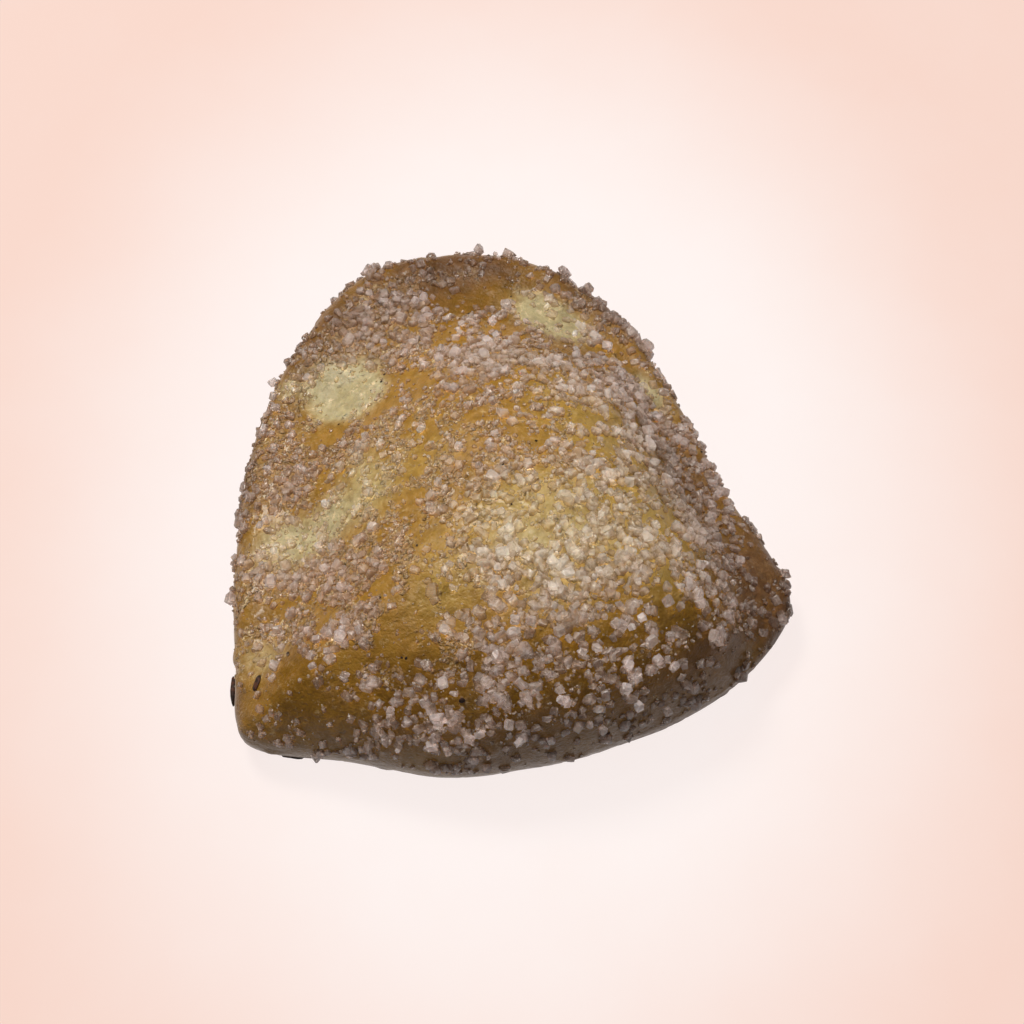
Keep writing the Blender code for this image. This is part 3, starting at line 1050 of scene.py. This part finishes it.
    def zones(self, s: Surface) -> dict[Zone, Array]:
        """Where the crust is pale, brown, deep, bare and sugar-crusted. Its brown is also painted
        shade at the rims and on the right flank, and its pale is also painted light on the top of the
        belly.

        Args:
            s: The crust's surface.

        Returns:
            One value for each place of the grid, for each zone.
        """
        p = s.points
        ragged = self.noise.layered(p + 91, 5.0, 4, 0.6)
        fold = smooth_step(0.015, 0.05, s.share) * (1 - smooth_step(0.30, 0.345, s.share))
        level = 2.2 + 2.4 * smooth_step(6.0, 28.0, p[..., 0])
        wall = fold * smooth_step(2.5, -1.0, p[..., 2] - level + 1.6 * ragged)
        under = smooth_step(3.6, 2.0, p[..., 2] + ragged)
        return {
            Zone.PALE: np.clip(blots_at(self.pale_spots, p) * (1 + 0.5 * ragged), 0, 1),
            Zone.YELLOW: np.clip(blots_at(self.yellow_spots, p) * (1 + 0.5 * ragged), 0, 1),
            Zone.BROWN_AND_SHADE: np.clip(blots_at(self.brown_and_shade_spots, p) * (1 + 0.6 * ragged), 0, 1),
            Zone.DEEP: np.clip(blots_at(self.deep_spots, p) * (1 + 0.7 * ragged), 0, 1),
            Zone.BARE: np.clip(np.maximum(wall, under), 0, 1),
            Zone.CRUSTED: np.clip(blots_at(self.crusted_spots, p), 0, 1)
            * smooth_step(-0.25, 0.15, self.drift.at(p)),
        }

    def build(self, s: Surface, shift: Array) -> bpy.types.Object:
        """Makes the crust and has it stand for the part's solid.

        Args:
            s: The crust's surface.
            shift: The move from the dough's plan to the frame, in millimetres.

        Returns:
            The crust.
        """
        rows, columns = s.points.shape[:2]
        body = s.points[1:-1].reshape(-1, 3)
        vertices = (np.vstack([s.points[0, :1], body, s.points[-1, :1]]) + shift) * MM
        values = {zone: np.concatenate([[v[0, 0]], v[1:-1].ravel(), [v[-1, 0]]])
                  for zone, v in self.zones(s).items()}
        crust = make_piece("crust", vertices, closed_grid(rows - 2, columns), True, values,
                           self.finish.build())
        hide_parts(NODE)
        return crust


# ---------------------------------------------------------------------------------------------
# Sugar


@dataclass(frozen=True)
class Shape:
    """A small closed shape: its corners within a unit radius or so, and its triangles."""

    corners: Array
    faces: Array


def rounded_block() -> Shape:
    """A cube with cut edges and corners: 24 corners and 44 triangles.

    Its corners are all places with one coordinate at 1 and the others at 0.62, either sign.
    The faces come from the hull: each set of corners that lies on one side's plane.

    Returns:
        The block.
    """
    near = 0.62
    corners = []
    for axis in range(3):
        for signs in np.ndindex(2, 2, 2):
            place = (2 * np.array(signs) - 1) * near
            place[axis] /= near
            corners.append(place)
    corners = np.array(corners, float)
    sides = [np.array(n, float) for n in np.ndindex(3, 3, 3)]
    faces = []
    for side in sides:
        normal = side - 1
        if not normal.any():
            continue
        along = corners @ normal
        ring = np.flatnonzero(along > along.max() - 1e-6)
        faces.extend(fan(corners, ring, normal))
    return Shape(corners, np.array(faces))


def fan(corners: Array, ring: Array, normal: Array) -> list[list[int]]:
    """Triangles over a flat ring of corners, turning the right way about its normal.

    Args:
        corners: All corners.
        ring: The numbers of the ring's corners, in any order.
        normal: The outward direction.

    Returns:
        The triangles.
    """
    middle = corners[ring].mean(axis=0)
    first = corners[ring[0]] - middle
    second = np.cross(normal, first)
    angle = np.arctan2((corners[ring] - middle) @ second / np.linalg.norm(second),
                       (corners[ring] - middle) @ first / np.linalg.norm(first))
    ordered = ring[np.argsort(angle)]
    return [[int(ordered[0]), int(ordered[k]), int(ordered[k + 1])]
            for k in range(1, len(ordered) - 1)]


def pebble() -> Shape:
    """An icosahedron, 12 corners and 20 triangles, stretched a little along Z.

    Returns:
        The pebble.
    """
    golden = (1 + math.sqrt(5)) / 2
    corners = np.array([(0, a, b * golden) for a in (-1, 1) for b in (-1, 1)], float)
    corners = np.vstack([corners, corners[:, [2, 0, 1]], corners[:, [1, 2, 0]]])
    corners /= np.linalg.norm(corners[0])
    faces = []
    for i in range(12):
        for j in range(i + 1, 12):
            for k in range(j + 1, 12):
                sides = [np.linalg.norm(corners[a] - corners[b]) for a, b in ((i, j), (j, k), (k, i))]
                if max(sides) < 1.2:
                    outward = np.linalg.det(corners[[i, j, k]]) > 0
                    faces.append([i, j, k] if outward else [i, k, j])
    return Shape(corners * (1.0, 1.0, 1.15), np.array(faces))


@dataclass
class SugarLayer:
    """One size of sugar, strewn over the crust by a density of its own."""

    grain: Grain
    shape: Shape
    size: tuple[float, float]  # smallest and largest radius in millimetres
    proportions: tuple[float, float, float]
    jitter: float
    patches: tuple[Blot, ...]  # crystals for each square millimetre
    spread: float  # the same everywhere
    patch_step: float  # how wide the gaps and drifts between crystals are
    patch_edge: tuple[float, float]
    lift: tuple[float, float]  # how far its middle stands off the crust, in radii
    soak: tuple[float, float]
    most: int
    seed: int
    finish: SugarFinish
    crowding: float = 0.0  # share of crystals that sit on another
    filling: float = 0.3  # how fast the gaps close where there is more sugar
    heaped: float = 0.5  # how much more there is in a clump
    least: float = 0.10  # share left in the gaps
    swept: float = 0.97  # share missing from the middle of a pale mark
    bottom: float = 1.8  # height in millimetres below which no sugar has caught
    climb: float = 1.8  # how much higher that is along the fold's right half
    caught_over: float = 3.5  # millimetres over which the sugar thins out above it

    def density(self, crust: Crust, s: Surface, cells: Array, normals: Array) -> Array:
        """Crystals for each square millimetre.

        Args:
            crust: The crust, for its drift and clumps.
            s: The crust's surface.
            cells: The middle of each cell.
            normals: The outward normal of each cell.

        Returns:
            The density in each cell.
        """
        noise = LatticeNoise(self.seed + 1)
        density = self.spread + blots_at(self.patches, cells)
        own = noise.layered(cells, self.patch_step, 3, 0.6)
        drift = 0.5 * own + crust.drift.at(cells) + self.filling * density
        density = density * (self.least + (1 - self.least) * smooth_step(*self.patch_edge, drift))
        density = density * (1 + self.heaped * np.clip(blots_at(crust.drift.clumps, cells), 0, 1))
        density = density * (1 - self.swept * np.clip(blots_at(CLEAR_MARKS, cells), 0, 1))
        density = density * (1 - np.clip(blots_at(BARE_EAR, cells), 0, 1))
        fold = smooth_step(0.0, 0.04, s.share) * (1 - smooth_step(0.26, 0.31, s.share))
        high = cells[..., 2] + 1.5 * noise.at(cells + 13, 4.0)
        bottom = self.bottom + fold * self.climb * smooth_step(8.0, 27.0, cells[..., 0])
        caught = smooth_step(0.0, self.caught_over, high - bottom)
        return density * caught * smooth_step(-0.1, 0.35, normals[..., 2])

    def places(self, crust: Crust, s: Surface, rng: np.random.Generator) -> tuple[Array, Array]:
        """Draws the crystals' places.

        Args:
            crust: The crust.
            s: The crust's surface.
            rng: The layer's random numbers.

        Returns:
            Places on the crust, and the normals there.
        """
        p, n = s.points, s.normals
        q, m = np.roll(p, -1, axis=1), np.roll(n, -1, axis=1)
        cells = s.centred_cells
        normals = (n[:-1] + n[1:] + m[:-1] + m[1:]) / 4
        area = np.linalg.norm(np.cross(p[1:] - p[:-1], q[:-1] - p[:-1]), axis=-1)
        load = (area * self.density(crust, s, cells, normals)).ravel()
        count = min(self.most, int(load.sum()))
        log.info("%s: %.0f wanted, %d made", self.grain.value, load.sum(), count)
        total = np.cumsum(load)
        chosen = np.searchsorted(total, rng.uniform(0, total[-1], count))
        i, j = np.divmod(chosen, p.shape[1])
        u, v = rng.uniform(0, 1, (2, count, 1))
        near, far = p[i, j] * (1 - u) + q[i, j] * u, p[i + 1, j] * (1 - u) + q[i + 1, j] * u
        normal = n[i, j] * (1 - v) + n[i + 1, j] * v
        return near * (1 - v) + far * v, normal / np.linalg.norm(normal, axis=1, keepdims=True)

    def turns(self, normal: Array, rng: np.random.Generator) -> Array:
        """Random rotations that lay most crystals near their flat side.

        Each has a random spin about its own Z, which leans from the crust's normal by up to
        about a right angle, small leans being likelier.

        Args:
            normal: The crust's normals.
            rng: The layer's random numbers.

        Returns:
            One rotation matrix for each crystal.
        """
        count = len(normal)
        lean = rng.normal(0, 1, (count, 3)) * rng.uniform(0.15, 0.9, (count, 1))
        up = normal + lean
        up /= np.linalg.norm(up, axis=1, keepdims=True)
        side = np.cross(up, rng.normal(0, 1, (count, 3)))
        side /= np.linalg.norm(side, axis=1, keepdims=True)
        return np.stack([side, np.cross(up, side), up], axis=-1)

    def build(self, crust: Crust, s: Surface, shift: Array) -> bpy.types.Object:
        """Makes the layer as one piece.

        Args:
            crust: The crust.
            s: The crust's surface.
            shift: The move from the dough's plan to the frame, in millimetres.

        Returns:
            The piece.
        """
        rng = np.random.default_rng(self.seed)
        spot, normal = self.places(crust, s, rng)
        count = len(spot)
        radius = self.size[0] + (self.size[1] - self.size[0]) * rng.beta(1.6, 2.4, (count, 1))
        lift = rng.uniform(*self.lift, (count, 1))
        stacked = rng.uniform(0, 1, (count, 1)) < self.crowding
        lift = np.where(stacked, lift + rng.uniform(0.7, 1.2, (count, 1)), lift)
        middle = spot + normal * radius * lift
        turn = self.turns(normal, rng)
        stretch = np.array(self.proportions) * rng.uniform(0.8, 1.2, (count, 3))
        corners = self.shape.corners[None] * stretch[:, None]
        corners = corners + rng.uniform(-self.jitter, self.jitter, corners.shape)
        local = np.einsum("nij,nkj->nki", turn, corners) * radius[:, None]
        vertices = middle[:, None] + local
        vertices[..., 2] = np.maximum(vertices[..., 2], SUGAR_OVER_FLOOR)
        raised = np.einsum("nkj,nj->nk", vertices - spot[:, None], normal) / (2 * radius)
        melted = np.clip(blots_at(crust.crusted_spots, spot), 0, 1)[:, None]
        soak = self.soak[0] + (self.soak[1] - self.soak[0]) * melted
        soak = np.clip(soak * (1.25 - 0.8 * raised) + rng.uniform(-0.12, 0.12, (count, 1)), 0, 1)
        tint = np.broadcast_to(rng.uniform(0, 1, (count, 1)), raised.shape)
        # Painted shade: each crystal darker towards its foot, like a contact shadow.
        foot = smooth_step(0.55, -0.15, raised)
        under = {zone: np.broadcast_to(np.clip(blots_at(spots, spot), 0, 1)[:, None], raised.shape)
                 for zone, spots in ((Zone.YELLOW, crust.yellow_spots + crust.pale_spots),
                                     (Zone.BROWN_AND_SHADE, crust.brown_and_shade_spots))}
        per = len(self.shape.corners)
        faces = self.shape.faces[None] + per * np.arange(count)[:, None, None]
        piece = make_piece(self.grain.value, (vertices.reshape(-1, 3) + shift) * MM,
                           [faces.reshape(-1, 3)], False,
                           {Zone.TINT: tint.ravel(), Zone.SOAK: soak.ravel(), Zone.SHADED_FOOT: foot.ravel(),
                            **{zone: value.ravel() for zone, value in under.items()}},
                           self.finish.build())
        piece.visible_shadow = False
        return piece


COARSE_PATCHES = blots(
    (10.0, -13.0, 20.0, 18.0, 20, 0.95), (3.0, 21.0, 17.0, 9.0, -25, 0.95),
    (32.0, -12.0, 9.0, 12.0, 10, 0.32), (14.0, -31.0, 20.0, 7.0, 20, 0.30),
    (13.0, -18.5, 13.0, 8.0, 20, 0.45), (23.0, 17.0, 7.0, 18.0, 28, 0.70),
    (-24.0, 32.0, 12.0, 8.0, 40, 0.40), (-10.0, 39.0, 18.0, 8.0, 0, 0.32),
    (-18.0, -32.0, 20.0, 11.0, 0, 0.42), (-31.0, 0.0, 10.0, 24.0, 0, 0.42),
    (15.0, 36.0, 11.0, 4.0, -48, 0.6))
MEDIUM_PATCHES = blots(
    (-22.0, 29.0, 14.0, 11.0, 40, 1.1), (-31.0, 8.0, 10.0, 13.0, 10, 1.1),
    (-10.0, 2.0, 15.0, 16.0, 60, 0.9), (-25.0, -16.0, 16.0, 10.0, 0, 0.95),
    (8.0, -8.0, 20.0, 18.0, 0, 1.2), (4.0, 21.0, 18.0, 9.0, -20, 1.1),
    (32.0, -12.0, 10.0, 12.0, 0, 0.6), (-6.0, -29.0, 26.0, 10.0, 0, 0.6),
    (15.0, 36.0, 11.0, 4.0, -48, 1.2), (23.0, 20.0, 4.0, 12.0, 25, 0.9),
    (-8.0, 43.0, 14.0, 4.0, 0, 0.7))
FINE_PATCHES = blots(
    (-22.0, 28.0, 14.0, 12.0, 40, 1.4), (-30.0, 6.0, 11.0, 15.0, 10, 1.4),
    (-10.0, 0.0, 16.0, 18.0, 60, 1.4), (-26.0, -16.0, 16.0, 11.0, 0, 1.3),
    (8.0, -8.0, 20.0, 18.0, 0, 1.3), (2.0, 22.0, 18.0, 9.0, -20, 1.2),
    (-36.0, -24.0, 5.0, 7.0, 0, 0.7), (-16.0, -30.0, 20.0, 8.0, 0, 0.9))
BARE_EAR = blots(
    (38.0, -6.5, 3.4, 5.0, 25, 0.85), (34.0, -27.5, 5.0, 2.2, 40, 0.6))
CLEAR_MARKS = blots(
    (-25.4, 20.3, 6.8, 6.4, 0, 1.0, 2.2), (5.0, 34.6, 5.4, 2.7, -37, 0.7, 2.0),
    (-37.6, -26.0, 3.6, 4.4, 0, 0.8, 2.0), (22.3, 21.5, 4.6, 1.8, -52, 0.8, 2.0),
    (-37.0, -33.0, 5.0, 4.0, 0, 0.6, 2.0), (-37.2, -28.8, 1.7, 1.5, 0, 1.0, 2.0),
    (-32.5, -25.5, 1.1, 1.1, 0, 1.0, 2.0), (-6.7, -35.7, 1.2, 1.2, 0, 1.0, 2.0))


def sugar_layers() -> tuple[SugarLayer, ...]:
    """The three layers of sugar, from coarse to fine."""
    block, stone = rounded_block(), pebble()
    coarse = SugarFinish("sugar_coarse_crystal")
    medium = SugarFinish("sugar_medium_crystal", (0.56, 0.43, 0.34, 1.0), (0.97, 0.85, 0.82, 1.0),
                         (0.66, 0.47, 0.30, 1.0), (0.84, 0.73, 0.50, 1.0), 0.08, 0.66)
    fine = SugarFinish("sugar_fine_crystal", (0.52, 0.39, 0.28, 1.0), (0.90, 0.76, 0.62, 1.0),
                       (0.60, 0.41, 0.23, 1.0), (0.66, 0.54, 0.30, 1.0), 0.10, 0.55)
    return (
        SugarLayer(Grain.COARSE, block, (0.46, 0.98), (1.0, 0.86, 0.70), 0.19, COARSE_PATCHES,
                   0.08, 1.9, (-0.45, 0.40), (-0.25, 0.20), (0.0, 0.55), 4500, 101, coarse,
                   0.12, 0.20),
        SugarLayer(Grain.MEDIUM, stone, (0.28, 0.62), (1.0, 0.85, 0.75), 0.22, MEDIUM_PATCHES,
                   0.15, 1.9, (-0.40, 0.35), (-0.2, 0.2), (0.15, 0.70), 9500, 202, medium,
                   0.06, 0.08),
        SugarLayer(Grain.FINE, stone, (0.13, 0.28), (1.0, 0.9, 0.8), 0.20, FINE_PATCHES,
                   0.20, 1.6, (-0.35, 0.30), (-0.1, 0.25), (0.3, 0.85), 9500, 303, fine,
                   0.0, 0.05),
    )


# ---------------------------------------------------------------------------------------------
# Flecks and burnt slivers


@dataclass(frozen=True)
class Fleck:
    """A dark crumb on the crust, in plan: place, half sizes, turn."""

    x: float
    y: float
    half_length: float
    half_width: float
    turn: float


@dataclass(frozen=True)
class Sliver:
    """Burnt syrup under the edge: where, how high, how far out it shows, and its half sizes."""

    x: float
    y: float
    z: float
    reach: float  # of its outer side past the waist
    half_length: float
    half_width: float
    half_height: float


@dataclass
class Flecks:
    """Burnt crumbs on top, and slivers of burnt syrup under the edge."""

    finish: CharFinish = field(default_factory=CharFinish)
    crumbs: tuple[Fleck, ...] = (
        Fleck(-37.2, -28.8, 1.20, 0.60, 62), Fleck(-32.5, -25.5, 0.46, 0.28, -50),
        Fleck(-6.7, -35.7, 0.50, 0.42, 0), Fleck(14.2, -36.6, 0.55, 0.35, 20),
        Fleck(-20.0, 21.0, 0.22, 0.16, 0), Fleck(-21.5, 19.8, 0.18, 0.14, 0),
        Fleck(-26.5, 14.5, 0.20, 0.15, 0), Fleck(-14.9, -30.1, 0.26, 0.18, 40),
        Fleck(-6.7, -33.1, 0.24, 0.18, 0))
    slivers: tuple[Sliver, ...] = (
        Sliver(-41.8, -26.3, 2.4, 0.95, 2.4, 0.45, 0.45),
        Sliver(-33.9, -37.0, 0.5, -0.85, 1.9, 0.7, 0.4))
    stray: int = 26
    rings: int = 10
    spokes: int = 16

    def blob(self, middle: Array, axes: Array, noise: LatticeNoise) -> tuple[Array, list[Array]]:
        """A closed lumpy ellipsoid: a unit sphere, moved in and out by noise, carried by axes.

        Args:
            middle: Its middle, in millimetres.
            axes: Three rows, its half-axes.
            noise: What makes it lumpy.

        Returns:
            Its corners, and its quads and triangles.
        """
        theta = np.linspace(0, np.pi, self.rings + 1)[1:-1, None]
        phi = np.arange(self.spokes)[None] / self.spokes * 2 * np.pi
        ball = np.stack([np.sin(theta) * np.cos(phi), np.sin(theta) * np.sin(phi),
                         np.cos(theta) + 0 * phi], axis=-1).reshape(-1, 3)
        ball = np.vstack([(0, 0, 1), ball, (0, 0, -1)])
        ball = ball * (1 + 0.30 * noise.at(ball + middle, 0.7))[:, None]
        return middle + ball @ axes, closed_grid(self.rings - 1, self.spokes)

    def build(self, s: Surface, shift: Array) -> bpy.types.Object:
        """Makes the crumbs and slivers as one piece.

        Args:
            s: The crust's surface.
            shift: The move from the dough's plan to the frame, in millimetres.

        Returns:
            The piece.
        """
        noise, rng = LatticeNoise(77), np.random.default_rng(78)
        top, up = s.points[: s.tops].reshape(-1, 3), s.normals[: s.tops].reshape(-1, 3)
        crumbs = list(self.crumbs)
        for x, y in zip(rng.uniform(-36, 34, self.stray), rng.uniform(-32, 42, self.stray)):
            half = rng.uniform(0.10, 0.20)
            crumbs.append(Fleck(x, y, half * 1.3, half, rng.uniform(0, 180)))
        corners, quads, caps, total = [], [], [], 0
        shapes = []
        for fleck in crumbs:
            away = np.hypot(top[:, 0] - fleck.x, top[:, 1] - fleck.y)
            k = int(np.argmin(away))
            if away[k] > CRUMB_MISSES:
                continue
            turn = math.radians(fleck.turn)
            along = np.array([math.cos(turn), math.sin(turn), 0.0])
            along -= up[k] * (along @ up[k])
            along /= np.linalg.norm(along)
            across = np.cross(up[k], along)
            axes = np.array([along * fleck.half_length, across * fleck.half_width,
                             up[k] * fleck.half_width * 0.5])
            shapes.append((top[k] + up[k] * 0.05, axes))
        for sliver in self.slivers:
            away = np.hypot(s.points[s.tops - 1, :, 0] - sliver.x,
                            s.points[s.tops - 1, :, 1] - sliver.y)
            k = int(np.argmin(away))
            column = s.points[s.tops - 1:, k]
            foot = column[int(np.argmin(np.abs(column[:, 2] - sliver.z)))]
            along = (s.points[s.tops - 1, (k + 4) % len(away)] - s.points[s.tops - 1, k - 4])
            along = along * (1, 1, 0) / np.hypot(along[0], along[1])
            outward = np.cross(along, (0.0, 0.0, 1.0))
            out = outward @ (s.points[s.tops - 1, k] - foot) + sliver.reach - sliver.half_width
            axes = np.array([along * sliver.half_length, outward * sliver.half_width,
                             np.array([0, 0, sliver.half_height])])
            shapes.append((foot + outward * out, axes))
        for middle, axes in shapes:
            if np.linalg.det(axes) < 0:
                axes = axes * np.array([[1], [-1], [1]])
            made, faces = self.blob(middle, axes, noise)
            corners.append(made)
            quads.append(faces[0] + total)
            caps.append(faces[1] + total)
            total += len(made)
        vertices = np.vstack(corners)
        vertices[:, 2] = np.maximum(vertices[:, 2], CRUMB_OVER_FLOOR)
        return make_piece("burnt_flecks", (vertices + shift) * MM,
                          [np.vstack(quads), np.vstack(caps)], True, {}, self.finish.build())


# ---------------------------------------------------------------------------------------------
# Stage


@dataclass
class Stage:
    """A pale sheet that glows with painted light, soft light from above and behind, and the camera.
    """

    sheet_half: float = 1.6
    elevation: float = 62.0
    distance: float = 0.42
    lens: float = 97.4
    target: tuple[float, float, float] = (0.00006, -0.003877, 0.010)
    key_place: tuple[float, float, float] = (-0.22, 0.28, 0.58)
    key_size: float = 0.18
    key_power: float = 4.1
    key_colour: tuple[float, float, float] = (1.0, 0.96, 0.91)
    glimmer_size: float = 0.022
    glimmer_power: float = 0.085
    glimmer_colour: tuple[float, float, float] = (1.0, 0.98, 0.97)
    sky: Colour = (1.0, 0.97, 0.94, 1.0)
    sky_strength: tuple[float, float] = (0.06, 0.27)  # below the horizon and high up
    glimmers: tuple[tuple[float, float, float], ...] = (
        (0.10, -0.12, 0.58), (-0.30, -0.02, 0.50), (0.20, 0.26, 0.50), (-0.05, 0.10, 0.62))

    def build_floor(self) -> bpy.types.Object:
        """Makes the sheet that the pastry lies on.

        Returns:
            The floor.
        """
        h = self.sheet_half
        mesh = bpy.data.meshes.new("glowing_pale_sheet")
        mesh.from_pydata([(-h, -h, 0), (h, -h, 0), (h, h, 0), (-h, h, 0)], [], [(0, 1, 2, 3)])
        mesh.materials.append(GlowingSheetFinish().build())
        floor = bpy.data.objects.new("glowing_pale_sheet", mesh)
        floor.visible_diffuse = False
        bpy.context.scene.collection.objects.link(floor)
        return floor

    def build_light(self, name: str, place: tuple[float, float, float], size: float,
                    power: float, colour: tuple[float, float, float]) -> bpy.types.Object:
        """Makes a square area light that faces the pastry.

        Args:
            name: The light's name.
            place: Where it hangs, in metres.
            size: Its side, in metres.
            power: Its power in watts.
            colour: Its colour.

        Returns:
            The light.
        """
        data = bpy.data.lights.new(name, "AREA")
        data.shape, data.size, data.energy, data.color = "SQUARE", size, power, colour
        light = bpy.data.objects.new(name, data)
        light.location = place
        light.rotation_euler = (-Vector(place)).to_track_quat("-Z", "Y").to_euler()
        bpy.context.scene.collection.objects.link(light)
        return light

    def build_world(self) -> None:
        """Makes a pale sky that is dark below the horizon."""
        world = bpy.data.worlds.new("studio")
        world.use_nodes = True
        tree = world.node_tree
        back = tree.nodes["Background"]
        coordinates = tree.nodes.new("ShaderNodeTexCoord")
        split = tree.nodes.new("ShaderNodeSeparateXYZ")
        ramp = tree.nodes.new("ShaderNodeMapRange")
        ramp.inputs["From Min"].default_value = -0.1
        ramp.inputs["From Max"].default_value = 0.5
        ramp.inputs["To Min"].default_value, ramp.inputs["To Max"].default_value = self.sky_strength
        tree.links.new(coordinates.outputs["Generated"], split.inputs["Vector"])
        tree.links.new(split.outputs["Z"], ramp.inputs["Value"])
        tree.links.new(ramp.outputs["Result"], back.inputs["Strength"])
        back.inputs["Color"].default_value = self.sky
        bpy.context.scene.world = world

    def build_camera(self) -> bpy.types.Object:
        """Makes the camera above and in front of the pastry.

        Returns:
            The camera.
        """
        data = bpy.data.cameras.new("camera")
        data.lens, data.sensor_width = self.lens, 36.0
        camera = bpy.data.objects.new("camera", data)
        tilt = math.radians(self.elevation)
        back = Vector((0.0, -math.cos(tilt), math.sin(tilt)))
        camera.location = Vector(self.target) + back * self.distance
        camera.rotation_euler = (-back).to_track_quat("-Z", "Y").to_euler()
        bpy.context.scene.collection.objects.link(camera)
        bpy.context.scene.camera = camera
        return camera

    def build(self) -> None:
        """Makes the whole stage."""
        self.build_floor()
        self.build_light("key", self.key_place, self.key_size, self.key_power, self.key_colour)
        for number, place in enumerate(self.glimmers):
            self.build_light(f"glimmer_{number}", place, self.glimmer_size, self.glimmer_power,
                             self.glimmer_colour)
        self.build_world()
        self.build_camera()
        bpy.context.scene.view_settings.view_transform = "Standard"


def main() -> None:
    """Builds the pastry's looks in order and notes its sizes."""
    logging.basicConfig(level=logging.INFO, format="%(name)s: %(message)s")
    crust = Crust()
    surface = crust.surface()
    low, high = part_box(NODE)
    middle = (np.array(low) + np.array(high)) / 2 / MM
    plain = crust.dough.surface().points.reshape(-1, 3)
    shift = middle - (plain.min(axis=0) + plain.max(axis=0)) / 2
    shift[2] = 0.0
    crust.build(surface, shift)
    for layer in sugar_layers():
        layer.build(crust, surface, shift)
    Flecks().build(surface, shift)
    Stage().build()


if __name__ == "__main__":
    main()
